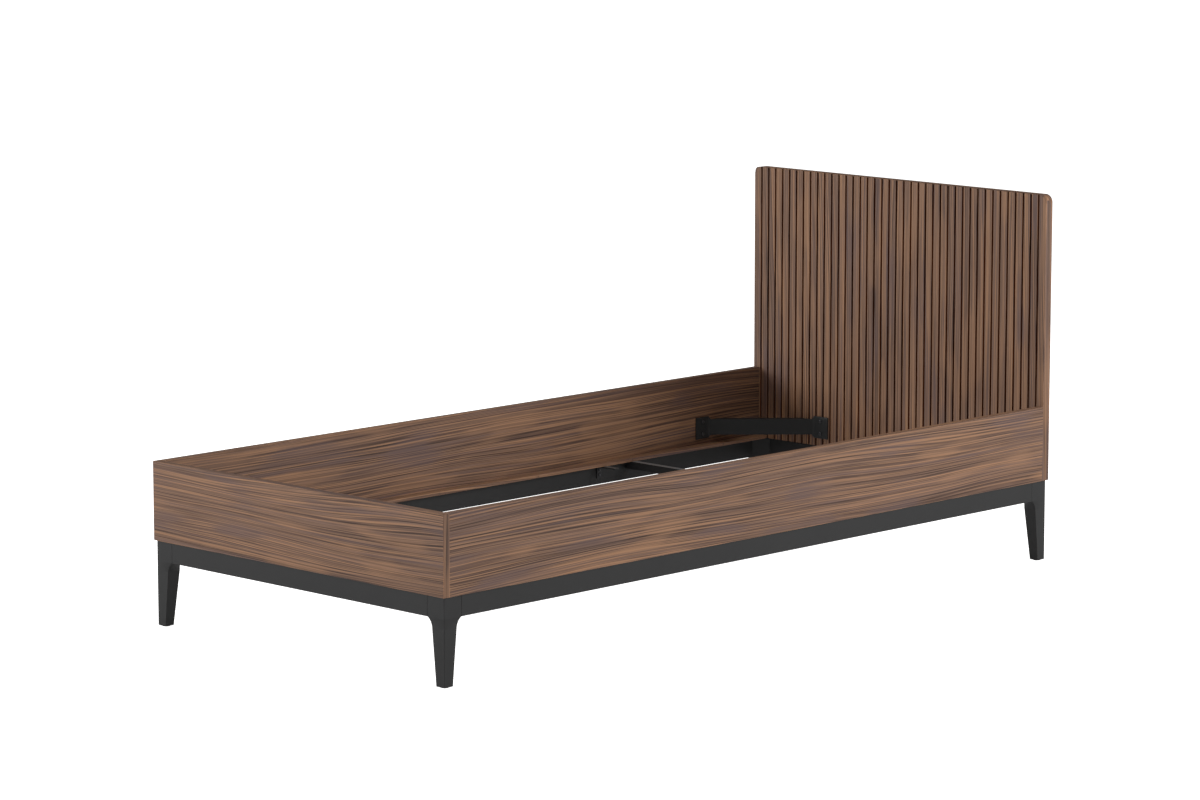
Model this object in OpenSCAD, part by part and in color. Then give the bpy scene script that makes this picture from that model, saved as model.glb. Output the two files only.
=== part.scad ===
// Single bed: a fluted headboard, a low footboard and side rails on a dark base with four legs.
// The origin is on the floor under the middle of the bed. X is across, Y runs to the head, Z is up.

/* [Bed] */
// Width over the rails' outer faces
bed_w = 960; // [800:10:1400]
// Length from the footboard's outer face to the headboard's back
bed_l = 2050; // [1700:10:2300]
// Height of the wooden panels' lower edges above the floor
base_h = 200; // [160:5:300]
// Height of the rails and of the footboard
rail_h = 183.5; // [150:0.5:260]
// Thickness of the rails
rail_t = 18; // [16:1:30]
// Thickness of the footboard
foot_t = 18; // [16:1:30]
// Thickness of the edge banding on every panel
band_t = 1; // [0.5:0.5:2]

/* [Headboard] */
// Height of the headboard's top edge above the floor
head_h = 905; // [600:5:1200]
// Thickness of the fluted front panel
front_t = 12; // [10:1:20]
// Thickness of the plain back panel
back_t = 12; // [8:1:20]
// Radius of the two top corners
corner_r = 20; // [5:1:60]
// Distance between the grooves' centre lines
flute_pitch = 24; // [16:1:60]
// Width of a groove
flute_w = 5; // [3:0.5:8]
// Depth of a groove
flute_d = 5; // [2:0.5:6]

/* [Base] */
// How far the base stands back from the panels' outer faces
base_inset = 5; // [0:1:8]
// Height of the aprons
apron_h = 48; // [36:1:80]
// Thickness of the aprons
apron_t = 20; // [18:1:30]
// Width of a leg's block, between the aprons
leg_top = 52; // [42:1:90]
// Width of a leg at the floor
leg_foot = 26; // [20:1:40]
// Width of a leg at its neck, where the shoulder begins
leg_neck = 38; // [28:0.5:40]
// Height of the shoulder, from the neck to the aprons' lower edge
shoulder_h = 22; // [14:1:40]
// Diameter of a floor glide
glide_d = 18; // [10:1:19]
// Thickness of a floor glide's pad
glide_t = 2; // [1:0.5:5]
// Diameter of a floor glide's stem
glide_stem_d = 6; // [4:1:8]
// Length of a floor glide's stem
glide_stem_l = 10; // [6:1:20]

/* [Supports] */
// Width of the ledge strip along each rail
ledge_w = 30; // [20:1:50]
// Height of the ledge strip
ledge_h = 8; // [8:1:20]
// Width of a cross bar
bar_w = 18; // [16:1:40]
// Height of a cross bar
bar_h = 20; // [18:1:80]
// Distance of a cross bar's centre from the nearer end of the bed
bar_from_end = 520; // [450:5:620]
// Distance of a base tab's centre from the cross bar's centre, towards the middle of the bed
tab_from_bar = 105; // [60:5:200]
// Width of a base tab
tab_w = 16; // [12:1:30]
// Reach of a base tab from the apron
tab_reach = 64; // [40:1:100]
// Height of a base tab's upright
tab_drop = 32; // [28:1:35]
// Thickness of a base tab's steel
tab_t = 3; // [2:0.5:4]
// Length of each arm of a cross bar's angle bracket
angle_arm = 30; // [24:1:50]
// Height of an angle bracket
angle_h = 18; // [16:1:20]
// Thickness of an angle bracket's steel
angle_t = 2; // [1.5:0.5:3]

/* [Corner braces] */
// Distance from the inside corner to a brace's bend line
brace_reach = 192; // [120:1:260]
// Length of a brace's flange beyond the bend line
brace_flange = 48; // [30:1:70]
// Height of a brace's flange
flange_h = 56; // [50:1:80]
// Height of a brace's web
web_h = 40; // [25:1:50]
// Height of a brace's middle above the panels' lower edges
brace_up = 49; // [40:1:90]
// Thickness of a brace's steel
brace_t = 3; // [2:0.5:5]
// Width of the lip that runs along a brace's upper edge
lip_w = 20; // [10:1:35]
// Distance between the two screws in a flange
brace_screw_gap = 32; // [20:1:36]

/* [Fasteners] */
// Radial clearance round every screw, dowel and stem
fit = 0.1; // [0.05:0.05:0.3]
// Diameter of a brace screw
brace_screw_d = 5; // [4:0.5:6]
// Length of a brace screw under its head
brace_screw_l = 14; // [10:1:16]
// Diameter of a brace screw's head
brace_head_d = 9.5; // [8:0.5:12]
// Height of a brace screw's head
brace_head_h = 3; // [2:0.5:4]
// Diameter of a small screw, for brackets, tabs and ledges
small_screw_d = 3.5; // [3:0.5:4]
// Length of a small bracket screw under its head
small_screw_l = 12; // [8:1:14]
// Diameter of a small screw's head
small_head_d = 7; // [6:0.5:8]
// Height of a small screw's head
small_head_h = 2; // [1.5:0.5:2.5]
// Length of a ledge screw
ledge_screw_l = 42; // [35:1:46]
// Diameter of a box screw, which holds the wooden box down on the base
box_screw_d = 5; // [4:0.5:5.5]
// Length of a box screw under its head
box_screw_l = 45; // [35:1:55]
// Depth of a box screw's counterbore in the apron's lower edge
box_bore_depth = 24; // [10:1:28]
// Diameter of that counterbore
box_bore_d = 10.5; // [10:0.5:12]
// Diameter of a dowel
dowel_d = 8; // [6:1:9]
// Length of a dowel
dowel_l = 30; // [24:1:40]
// Depth of a rail dowel in the board that the rail meets
dowel_in_board = 10; // [8:1:12]
// Distance of the rail dowels from the rail's upper and lower edges
rail_dowel_edge = 45; // [40:1:60]
// Distance of the apron dowels from the apron's upper and lower edges
apron_dowel_edge = 12; // [10:1:14]

/* [Hidden] */
head_t = front_t + back_t;
half_w = bed_w / 2;
half_l = bed_l / 2;
inner_x = half_w - rail_t;
rail_from = -half_l + foot_t;
rail_to = half_l - head_t;
rail_l = rail_to - rail_from;
base_x = half_w - base_inset;
base_y = half_l - base_inset;
apron_z = base_h - apron_h;
neck_z = apron_z - shoulder_h;
bar_y = half_l - bar_from_end;
tab_y = bar_y - tab_from_bar;
brace_z = base_h + brace_up;
flutes = floor((inner_x - flute_w / 2 - 1) / flute_pitch);
ledge_screws_per_side = 6;
side_box_screws = [-1, 0, 1];
over = 1; // how far a cut runs past the face that it opens
$fn = 48;

// The shoulder is an arc that leaves the leg's taper smoothly and ends at the block's corner.
neck = [leg_neck, neck_z];
taper = neck - [leg_foot, glide_t];
away = [taper[1], -taper[0]] / norm(taper);
rise = [leg_top, apron_z] - neck;
shoulder_r = (rise * rise) / (2 * (rise * away));
shoulder_mid = neck + shoulder_r * away;
shoulder_from = atan2(neck[1] - shoulder_mid[1], neck[0] - shoulder_mid[0]);
shoulder_to = atan2(apron_z - shoulder_mid[1], leg_top - shoulder_mid[0]);
shoulder_steps = 10;

SIDES = [-1, 1];

// ---- placing ----

// Mirrors what is drawn in the +X +Y quarter into the quarter that the two signs name
module quarter(sx, sy) {
    mirror([sx < 0 ? 1 : 0, 0, 0])
        mirror([0, sy < 0 ? 1 : 0, 0])
            children();
}

// The inside of the board at the foot (sy < 0) or at the head
function board_y(sy) = sy < 0 ? -rail_from : rail_to;

// An inside corner of the box: X then runs in from the rail and Y in from the board
module inside_corner(sx, sy) {
    quarter(sx, sy)
        translate([inner_x, board_y(sy), 0])
            rotate([0, 0, 180])
                children();
}

// An outside corner of the base: X and Y run inwards from the two outer faces
module base_corner(sx, sy) {
    quarter(sx, sy)
        translate([base_x, base_y, 0])
            rotate([0, 0, 180])
                children();
}

// Draws in every quarter
module all_quarters() {
    for (sx = SIDES)
        for (sy = SIDES)
            quarter(sx, sy)
                children();
}

// ---- fasteners: each stands on z = 0 with its head above and its shank below ----

module screw(d, l, head_d, head_h) {
    cylinder(d = head_d, h = head_h);
    translate([0, 0, -l])
        cylinder(d = d, h = l);
}

module screw_hole(d, depth) {
    translate([0, 0, -depth])
        cylinder(d = d + 2 * fit, h = depth + over);
}

// The four screws of one brace, drawn from the inside corner
module brace_screw_spots() {
    along = brace_reach + brace_flange / 2;
    for (up = SIDES) {
        z = brace_z + up * brace_screw_gap / 2;
        translate([brace_t, along, z])
            rotate([0, 90, 0])
                children();
        translate([along, brace_t, z])
            rotate([-90, 0, 0])
                children();
    }
}

module brace_screw_holes(sy) {
    for (sx = SIDES)
        inside_corner(sx, sy)
            brace_screw_spots()
                screw_hole(brace_screw_d, brace_screw_l);
}

// The small screws of the angle bracket and of the base tab in the +X +Y quarter
module small_screw_spots() {
    apron_face = base_x - apron_t;
    bar_face = bar_y + bar_w / 2;
    for (up = SIDES) {
        z = base_h - angle_h / 2 + up * angle_h / 4;
        translate([apron_face - angle_t, bar_face + angle_arm * 0.6, z])
            rotate([0, -90, 0])
                children();
        translate([apron_face - angle_arm * 0.6, bar_face + angle_t, z])
            rotate([-90, 0, 0])
                children();
        translate([apron_face - tab_t, tab_y, base_h - tab_drop * (0.55 + up * 0.2)])
            rotate([0, -90, 0])
                children();
    }
}

module small_screw_holes() {
    all_quarters()
        small_screw_spots()
            screw_hole(small_screw_d, small_screw_l);
}

// The ledge screws of one side (+X), driven outwards through the strip into the rail
module ledge_screw_spots() {
    step = rail_l / ledge_screws_per_side;
    for (i = [0 : ledge_screws_per_side - 1])
        translate([inner_x - ledge_w, rail_from + (i + 0.5) * step, base_h + ledge_h / 2])
            rotate([0, -90, 0])
                children();
}

// A countersunk screw, flush with the face that it is driven into
module sunk_screw(d, l, head_d, grow = 0) {
    sink = (head_d - d) / 2;
    translate([0, 0, -l])
        cylinder(d = d + 2 * grow, h = l);
    translate([0, 0, -sink])
        cylinder(d1 = d + 2 * grow, d2 = head_d + 2 * grow, h = sink);
}

module ledge_screw_holes(sx) {
    quarter(sx, 1)
        ledge_screw_spots()
            sunk_screw(small_screw_d, ledge_screw_l, small_head_d - 1, fit);
}

// The box screws stand in the aprons, head down, and reach up into the panels' lower edges.
// At the head they enter the front panel behind the grooves.
module box_screw_spots() {
    head_in = back_t + (front_t - flute_d) / 2;
    z = apron_z + box_bore_depth;
    for (sx = SIDES)
        for (i = side_box_screws)
            translate([sx * (half_w - (base_inset + rail_t) / 2), i * bed_l / 3, z])
                rotate([180, 0, 0])
                    children();
    for (sx = SIDES) {
        translate([sx * bed_w / 4, -half_l + (base_inset + foot_t) / 2, z])
            rotate([180, 0, 0])
                children();
        translate([sx * bed_w / 4, half_l - head_in, z])
            rotate([180, 0, 0])
                children();
    }
}

module box_screw_holes() {
    box_screw_spots() {
        screw_hole(box_screw_d, box_screw_l);
        cylinder(d = box_bore_d, h = box_bore_depth + over);
    }
}

// A rail dowel lies along Y, with its joint face at the origin and its board end at +Y
module rail_dowel_spots(sx, sy) {
    for (z = [base_h + rail_dowel_edge, base_h + rail_h - rail_dowel_edge])
        quarter(sx, sy)
            translate([half_w - rail_t / 2, board_y(sy), z])
                rotate([-90, 0, 0])
                    children();
}

module rail_dowel(grow = 0) {
    translate([0, 0, dowel_in_board - dowel_l])
        cylinder(d = dowel_d + 2 * grow, h = dowel_l);
}

module rail_dowel_holes(sy) {
    for (sx = SIDES)
        rail_dowel_spots(sx, sy)
            rail_dowel(fit);
}

// The four dowels of one leg, half in the leg and half in an apron, drawn from the base's corner
module apron_dowels_at_leg(grow = 0) {
    for (z = [base_h - apron_dowel_edge, apron_z + apron_dowel_edge]) {
        translate([leg_top - dowel_l / 2, apron_t / 2, z])
            rotate([0, 90, 0])
                cylinder(d = dowel_d + 2 * grow, h = dowel_l);
        translate([apron_t / 2, leg_top - dowel_l / 2, z])
            rotate([-90, 0, 0])
                cylinder(d = dowel_d + 2 * grow, h = dowel_l);
    }
}

// ---- headboard ----

// The headboard's outline in X and Z, drawn in by a margin
module head_outline(margin) {
    mid_x = half_w - corner_r;
    low_z = base_h + margin;
    translate([-half_w + margin, low_z])
        square([bed_w - 2 * margin, head_h - corner_r - low_z]);
    translate([-mid_x, low_z])
        square([2 * mid_x, head_h - margin - low_z]);
    for (sx = SIDES)
        translate([sx * mid_x, head_h - corner_r])
            circle(r = corner_r - margin, $fn = 64);
}

// A slab of that outline, from a distance in front of the headboard's back
module head_slab(from, thick, margin) {
    translate([0, half_l - from, 0])
        rotate([90, 0, 0])
            linear_extrude(thick)
                head_outline(margin);
}

module flute_cuts() {
    for (i = [-flutes : flutes])
        translate([i * flute_pitch - flute_w / 2, rail_to - over, base_h - over])
            cube([flute_w, flute_d + over, head_h - base_h + 2 * over]);
}

module headboard_front_panel() {
    color([0.42, 0.31, 0.25])
        difference() {
            head_slab(back_t, front_t, band_t);
            flute_cuts();
            brace_screw_holes(1);
            rail_dowel_holes(1);
            box_screw_holes();
        }
}

module headboard_back_panel() {
    color([0.36, 0.26, 0.21])
        difference() {
            head_slab(0, back_t, band_t);
            brace_screw_holes(1);
            rail_dowel_holes(1);
            box_screw_holes();
        }
}

module headboard_edge_band() {
    color([0.46, 0.34, 0.28])
        difference() {
            head_slab(0, head_t, 0);
            translate([0, over, 0])
                head_slab(0, head_t + 2 * over, band_t);
            flute_cuts();
            box_screw_holes();
        }
}

// ---- footboard and rails ----

module footboard_panel() {
    color([0.45, 0.33, 0.27])
        difference() {
            translate([-half_w + band_t, -half_l, base_h + band_t])
                cube([bed_w - 2 * band_t, foot_t, rail_h - 2 * band_t]);
            brace_screw_holes(-1);
            rail_dowel_holes(-1);
            box_screw_holes();
        }
}

module footboard_edge_band() {
    color([0.5, 0.37, 0.3])
        difference() {
            translate([-half_w, -half_l, base_h])
                cube([bed_w, foot_t, rail_h]);
            translate([-half_w + band_t, -half_l - over, base_h + band_t])
                cube([bed_w - 2 * band_t, foot_t + 2 * over, rail_h - 2 * band_t]);
            box_screw_holes();
        }
}

module side_rail(sx) {
    color([0.44, 0.32, 0.26])
        difference() {
            quarter(sx, 1)
                translate([inner_x, rail_from, base_h + band_t])
                    cube([rail_t, rail_l, rail_h - 2 * band_t]);
            for (sy = SIDES) {
                brace_screw_holes(sy);
                rail_dowel_holes(sy);
            }
            ledge_screw_holes(sx);
            box_screw_holes();
        }
}

module side_rail_edge_band(sx) {
    color([0.5, 0.37, 0.3])
        difference() {
            quarter(sx, 1)
                for (z = [base_h, base_h + rail_h - band_t])
                    translate([inner_x, rail_from, z])
                        cube([rail_t, rail_l, band_t]);
            box_screw_holes();
        }
}

// The strip inside each rail, level with the rail's lower edge, that a slatted base rests on
module ledge(sx) {
    color([0.47, 0.33, 0.25])
        difference() {
            quarter(sx, 1)
                translate([inner_x - ledge_w, rail_from, base_h])
                    cube([ledge_w, rail_l, ledge_h]);
            ledge_screw_holes(sx);
        }
}

// ---- base ----

module leg_profile() {
    polygon(concat(
        [[0, glide_t], [leg_foot, glide_t], neck],
        [for (i = [1 : shoulder_steps - 1])
            let (a = shoulder_from + (shoulder_to - shoulder_from) * i / shoulder_steps)
            shoulder_mid + shoulder_r * [cos(a), sin(a)]],
        [[leg_top, apron_z], [leg_top, base_h], [0, base_h]]
    ));
}

// The leg tapers on its two inner faces, and its inner corner is cut off at 45 degrees
module leg_blank() {
    intersection() {
        translate([0, leg_top, 0])
            rotate([90, 0, 0])
                linear_extrude(leg_top)
                    leg_profile();
        rotate([90, 0, 90])
            linear_extrude(leg_top)
                leg_profile();
        linear_extrude(base_h)
            polygon([[0, 0], [leg_top, 0], [leg_top, apron_t], [apron_t, leg_top], [0, leg_top]]);
    }
}

module leg(sx, sy) {
    color([0.22, 0.22, 0.22])
        base_corner(sx, sy)
            difference() {
                leg_blank();
                apron_dowels_at_leg(fit);
                translate([leg_foot / 2, leg_foot / 2, glide_t - over])
                    cylinder(d = glide_stem_d + 2 * fit, h = glide_stem_l + over);
            }
}

module glide(sx, sy) {
    color([0.1, 0.1, 0.1])
        base_corner(sx, sy)
            translate([leg_foot / 2, leg_foot / 2, 0]) {
                cylinder(d = glide_d, h = glide_t);
                cylinder(d = glide_stem_d, h = glide_t + glide_stem_l);
            }
}

module side_apron(sx) {
    color([0.24, 0.24, 0.24])
        difference() {
            quarter(sx, 1)
                translate([base_x - apron_t, -base_y + leg_top, apron_z])
                    cube([apron_t, 2 * (base_y - leg_top), apron_h]);
            for (sy = SIDES)
                base_corner(sx, sy)
                    apron_dowels_at_leg(fit);
            small_screw_holes();
            box_screw_holes();
        }
}

module end_apron(sy) {
    color([0.24, 0.24, 0.24])
        difference() {
            quarter(1, sy)
                translate([-base_x + leg_top, base_y - apron_t, apron_z])
                    cube([2 * (base_x - leg_top), apron_t, apron_h]);
            for (sx = SIDES)
                base_corner(sx, sy)
                    apron_dowels_at_leg(fit);
            box_screw_holes();
        }
}

module cross_bar(sy) {
    color([0.2, 0.2, 0.2])
        difference() {
            quarter(1, sy)
                translate([-base_x + apron_t, bar_y - bar_w / 2, base_h - bar_h])
                    cube([2 * (base_x - apron_t), bar_w, bar_h]);
            small_screw_holes();
        }
}

// An angle bracket in the inside corner between a cross bar and a side apron
module bar_angle(sx, sy) {
    color([0.3, 0.3, 0.31])
        difference() {
            quarter(sx, sy)
                translate([base_x - apron_t, bar_y + bar_w / 2, base_h - angle_h]) {
                    translate([-angle_arm, 0, 0])
                        cube([angle_arm, angle_t, angle_h]);
                    translate([-angle_t, 0, 0])
                        cube([angle_t, angle_arm, angle_h]);
                }
            small_screw_holes();
        }
}

// A steel tab on the apron's inner face, level with its top, reaching in under the ledge
module base_tab(sx, sy) {
    color([0.3, 0.3, 0.31])
        difference() {
            quarter(sx, sy)
                translate([base_x - apron_t, tab_y - tab_w / 2, base_h]) {
                    translate([-tab_reach, 0, -tab_t])
                        cube([tab_reach, tab_w, tab_t]);
                    translate([-tab_t, 0, -tab_drop])
                        cube([tab_t, tab_w, tab_drop]);
                }
            small_screw_holes();
        }
}

// ---- corner braces ----

// A strip at 45 degrees across the corner, between two distances from it and clear of the walls
module brace_strip(from, to, clear) {
    polygon([[clear, from - clear], [clear, to - clear], [to - clear, clear], [from - clear, clear]]);
}

module corner_brace(sx, sy) {
    web_to = brace_reach + brace_t * sqrt(2);
    lip_from = brace_reach - lip_w * sqrt(2);
    web_low = brace_z - web_h / 2;
    lip_clear = 2 * brace_t;
    color([0.11, 0.12, 0.12])
        inside_corner(sx, sy)
            difference() {
                union() {
                    translate([0, 0, web_low])
                        linear_extrude(web_h)
                            brace_strip(brace_reach, web_to, 0);
                    translate([0, 0, web_low + web_h - brace_t])
                        linear_extrude(brace_t)
                            brace_strip(lip_from, web_to, lip_clear);
                    translate([0, brace_reach, brace_z - flange_h / 2])
                        cube([brace_t, brace_flange, flange_h]);
                    translate([brace_reach, 0, brace_z - flange_h / 2])
                        cube([brace_flange, brace_t, flange_h]);
                }
                brace_screw_spots()
                    screw_hole(brace_screw_d, brace_screw_l);
            }
}

// ---- grouped fasteners ----

module brace_screws() {
    color([0.13, 0.13, 0.14])
        for (sx = SIDES)
            for (sy = SIDES)
                inside_corner(sx, sy)
                    brace_screw_spots()
                        screw(brace_screw_d, brace_screw_l, brace_head_d, brace_head_h);
}

module small_screws() {
    color([0.55, 0.55, 0.57])
        all_quarters()
            small_screw_spots()
                screw(small_screw_d, small_screw_l, small_head_d, small_head_h);
}

module ledge_screws() {
    color([0.55, 0.55, 0.57])
        for (sx = SIDES)
            quarter(sx, 1)
                ledge_screw_spots()
                    sunk_screw(small_screw_d, ledge_screw_l, small_head_d - 1);
}

module box_screws() {
    color([0.55, 0.55, 0.57])
        box_screw_spots()
            screw(box_screw_d, box_screw_l, brace_head_d, brace_head_h);
}

module rail_dowels() {
    color([0.8, 0.66, 0.45])
        for (sx = SIDES)
            for (sy = SIDES)
                rail_dowel_spots(sx, sy)
                    rail_dowel();
}

module apron_dowels() {
    color([0.8, 0.66, 0.45])
        for (sx = SIDES)
            for (sy = SIDES)
                base_corner(sx, sy)
                    apron_dowels_at_leg();
}

headboard_front_panel();
headboard_back_panel();
headboard_edge_band();
footboard_panel();
footboard_edge_band();
side_rail(-1);  // side_rail_left
side_rail(1);  // side_rail_right
side_rail_edge_band(-1);  // side_rail_left_edge_band
side_rail_edge_band(1);  // side_rail_right_edge_band
ledge(-1);  // ledge_left
ledge(1);  // ledge_right
leg(-1, -1);  // leg_foot_left
leg(1, -1);  // leg_foot_right
leg(-1, 1);  // leg_head_left
leg(1, 1);  // leg_head_right
glide(-1, -1);  // glide_foot_left
glide(1, -1);  // glide_foot_right
glide(-1, 1);  // glide_head_left
glide(1, 1);  // glide_head_right
side_apron(-1);  // apron_left
side_apron(1);  // apron_right
end_apron(-1);  // apron_foot
end_apron(1);  // apron_head
cross_bar(-1);  // cross_bar_foot
cross_bar(1);  // cross_bar_head
bar_angle(-1, -1);  // bar_angle_foot_left
bar_angle(1, -1);  // bar_angle_foot_right
bar_angle(-1, 1);  // bar_angle_head_left
bar_angle(1, 1);  // bar_angle_head_right
base_tab(-1, -1);  // base_tab_foot_left
base_tab(1, -1);  // base_tab_foot_right
base_tab(-1, 1);  // base_tab_head_left
base_tab(1, 1);  // base_tab_head_right
corner_brace(-1, -1);  // corner_brace_foot_left
corner_brace(1, -1);  // corner_brace_foot_right
corner_brace(-1, 1);  // corner_brace_head_left
corner_brace(1, 1);  // corner_brace_head_right
brace_screws();
small_screws();
ledge_screws();
box_screws();
rail_dowels();
apron_dowels();
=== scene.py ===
import math

import bmesh
import bpy
from mathutils import Matrix, Vector


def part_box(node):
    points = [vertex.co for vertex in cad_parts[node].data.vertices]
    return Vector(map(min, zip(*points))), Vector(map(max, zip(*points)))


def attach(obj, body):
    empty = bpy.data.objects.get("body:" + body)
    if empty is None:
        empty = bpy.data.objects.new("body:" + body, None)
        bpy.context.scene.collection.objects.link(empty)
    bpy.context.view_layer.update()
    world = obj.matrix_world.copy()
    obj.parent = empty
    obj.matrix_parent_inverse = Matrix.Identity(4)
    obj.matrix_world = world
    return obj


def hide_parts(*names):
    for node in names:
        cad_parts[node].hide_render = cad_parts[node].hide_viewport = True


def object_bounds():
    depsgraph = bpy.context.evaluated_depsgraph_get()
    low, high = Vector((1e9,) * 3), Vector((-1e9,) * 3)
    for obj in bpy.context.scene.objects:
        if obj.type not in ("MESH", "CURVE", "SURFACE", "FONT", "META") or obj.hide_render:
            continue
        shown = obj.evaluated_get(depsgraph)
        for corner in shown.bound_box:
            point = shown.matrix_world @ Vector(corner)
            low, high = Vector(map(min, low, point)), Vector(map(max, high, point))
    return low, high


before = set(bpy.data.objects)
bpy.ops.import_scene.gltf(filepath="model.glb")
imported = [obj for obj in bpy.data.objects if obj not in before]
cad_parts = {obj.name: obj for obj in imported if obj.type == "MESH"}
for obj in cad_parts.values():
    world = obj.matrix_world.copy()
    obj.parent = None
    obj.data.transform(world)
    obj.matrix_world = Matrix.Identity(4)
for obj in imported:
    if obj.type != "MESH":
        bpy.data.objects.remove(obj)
cadLow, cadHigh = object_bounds()
print("frame loaded:", len(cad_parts), "nodes")

camera = {
    "place": (7.389, -7.591, 2.139),
    "azimuth": 44.45,  # degrees round from straight behind the foot end
    "tilt": 9.0,       # degrees downwards
    "lens": 136.2,
}
studio = {
    "skyColour": (1.0, 1.0, 1.0),
    "skyStrength": 0.24,
    "floorColour": (0.9, 0.9, 0.9),
    "floorSize": 160.0,
    "floorGlow": 1.0,  # what the camera sees of the floor, so that shadows on it stay faint
    "lights": [
        # name, size, power, place
        ("leftLight", 3.2, 400.0, (-4.6, -6.2, 2.3)),
        ("rightLight", 4.2, 520.0, (6.2, 4.6, 2.8)),
        ("topLight", 5.0, 70.0, (0.5, -1.0, 6.0)),
    ],
}


def addCamera():
    data = bpy.data.cameras.new("viewCamera")
    data.lens = camera["lens"]
    data.sensor_width = 36
    data.clip_end = 200
    view = bpy.data.objects.new("viewCamera", data)
    view.location = camera["place"]
    view.rotation_euler = (
        math.radians(90 - camera["tilt"]),
        0,
        math.radians(camera["azimuth"]),
    )
    bpy.context.collection.objects.link(view)
    bpy.context.scene.camera = view


def addAreaLight(name, size, power, place, target):
    data = bpy.data.lights.new(name, "AREA")
    data.shape = "SQUARE"
    data.size = size
    data.energy = power
    light = bpy.data.objects.new(name, data)
    light.location = place
    light.rotation_euler = (Vector(target) - Vector(place)).to_track_quat("-Z", "Y").to_euler()
    bpy.context.collection.objects.link(light)


def addStudio():
    scene = bpy.context.scene
    scene.view_settings.view_transform = "Standard"
    world = bpy.data.worlds.new("studioSky")
    world.use_nodes = True
    sky = world.node_tree.nodes["Background"]
    sky.inputs["Color"].default_value = (*studio["skyColour"], 1)
    sky.inputs["Strength"].default_value = studio["skyStrength"]
    scene.world = world
    middle = (cadLow + cadHigh) / 2
    for name, size, power, place in studio["lights"]:
        addAreaLight(name, size, power, place, middle)

    bm = bmesh.new()
    bmesh.ops.create_grid(bm, x_segments=1, y_segments=1, size=studio["floorSize"] / 2)
    mesh = bpy.data.meshes.new("studioFloor")
    bm.to_mesh(mesh)
    bm.free()
    floor = bpy.data.objects.new("studioFloor", mesh)
    bpy.context.collection.objects.link(floor)
    material = bpy.data.materials.new("paleFloor")
    material.use_nodes = True
    shader = material.node_tree.nodes["Principled BSDF"]
    shader.inputs["Base Color"].default_value = (*studio["floorColour"], 1)
    shader.inputs["Roughness"].default_value = 0.9
    shader.inputs["Specular IOR Level"].default_value = 0.0
    shader.inputs["Emission Color"].default_value = (1, 1, 1, 1)
    seen = material.node_tree.nodes.new("ShaderNodeLightPath")
    glow = material.node_tree.nodes.new("ShaderNodeMath")
    glow.operation = "MULTIPLY"
    glow.inputs[1].default_value = studio["floorGlow"]
    material.node_tree.links.new(seen.outputs["Is Camera Ray"], glow.inputs[0])
    material.node_tree.links.new(glow.outputs[0], shader.inputs["Emission Strength"])
    mesh.materials.append(material)


addCamera()
addStudio()
print("camera, light and floor made")


class Wiring:
    # adds nodes to a tree and links them, so that each material reads from top to bottom
    def __init__(self, tree):
        self.tree = tree

    def node(self, kind, **settings):
        made = self.tree.nodes.new(kind)
        for key, value in settings.items():
            setattr(made, key, value)
        return made

    def plug(self, value, socket):
        if isinstance(value, bpy.types.NodeSocket):
            self.tree.links.new(value, socket)
        else:
            socket.default_value = value

    def math(self, operation, a, b=0.0, c=0.0):
        made = self.node("ShaderNodeMath", operation=operation)
        for value, socket in zip((a, b, c), made.inputs):
            self.plug(value, socket)
        return made.outputs[0]

    def scaled(self, vector, factors):
        made = self.node("ShaderNodeVectorMath", operation="MULTIPLY")
        self.plug(vector, made.inputs[0])
        made.inputs[1].default_value = factors
        return made.outputs[0]

    def noise(self, vector, scale, detail=2.0, roughness=0.5):
        made = self.node("ShaderNodeTexNoise")
        self.plug(vector, made.inputs["Vector"])
        made.inputs["Scale"].default_value = scale
        made.inputs["Detail"].default_value = detail
        made.inputs["Roughness"].default_value = roughness
        return made.outputs["Fac"]

    def span(self, value, low, high, toLow=0.0, toHigh=1.0, smooth=True):
        made = self.node("ShaderNodeMapRange")
        made.interpolation_type = "SMOOTHSTEP" if smooth else "LINEAR"
        for item, socket in zip((value, low, high, toLow, toHigh), made.inputs):
            self.plug(item, socket)
        return made.outputs["Result"]

    def ramp(self, value, stops, interpolation="EASE"):
        made = self.node("ShaderNodeValToRGB")
        made.color_ramp.interpolation = interpolation
        points = made.color_ramp.elements
        while len(points) < len(stops):
            points.new(0.5)
        for point, (place, colour) in zip(points, stops):
            point.position = place
            point.color = (*colour, 1)
        self.plug(value, made.inputs["Fac"])
        return made.outputs["Color"]

    def mix(self, factor, a, b, blend="MIX"):
        made = self.node("ShaderNodeMix", data_type="RGBA", blend_type=blend)
        self.plug(factor, made.inputs["Factor"])
        first, second = [socket for socket in made.inputs if socket.type == "RGBA"]
        self.plug(a, first)
        self.plug(b, second)
        return [socket for socket in made.outputs if socket.type == "RGBA"][0]

    def bump(self, height, strength, distance):
        made = self.node("ShaderNodeBump")
        made.inputs["Strength"].default_value = strength
        made.inputs["Distance"].default_value = distance
        self.plug(height, made.inputs["Height"])
        return made.outputs["Normal"]

    def group(self, tree, **values):
        made = self.node("ShaderNodeGroup", node_tree=tree)
        for key, value in values.items():
            self.plug(value, made.inputs[key])
        return made


def newGroup(name, inputs, outputs):
    tree = bpy.data.node_groups.new(name, "ShaderNodeTree")
    for label, kind, value in inputs:
        socket = tree.interface.new_socket(label, in_out="INPUT", socket_type="NodeSocket" + kind)
        if value is not None:
            socket.default_value = value
    for label, kind in outputs:
        tree.interface.new_socket(label, in_out="OUTPUT", socket_type="NodeSocket" + kind)
    return tree, tree.nodes.new("NodeGroupInput"), tree.nodes.new("NodeGroupOutput")


def newMaterial(name):
    material = bpy.data.materials.new(name)
    material.use_nodes = True
    return material, Wiring(material.node_tree), material.node_tree.nodes["Principled BSDF"]


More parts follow.
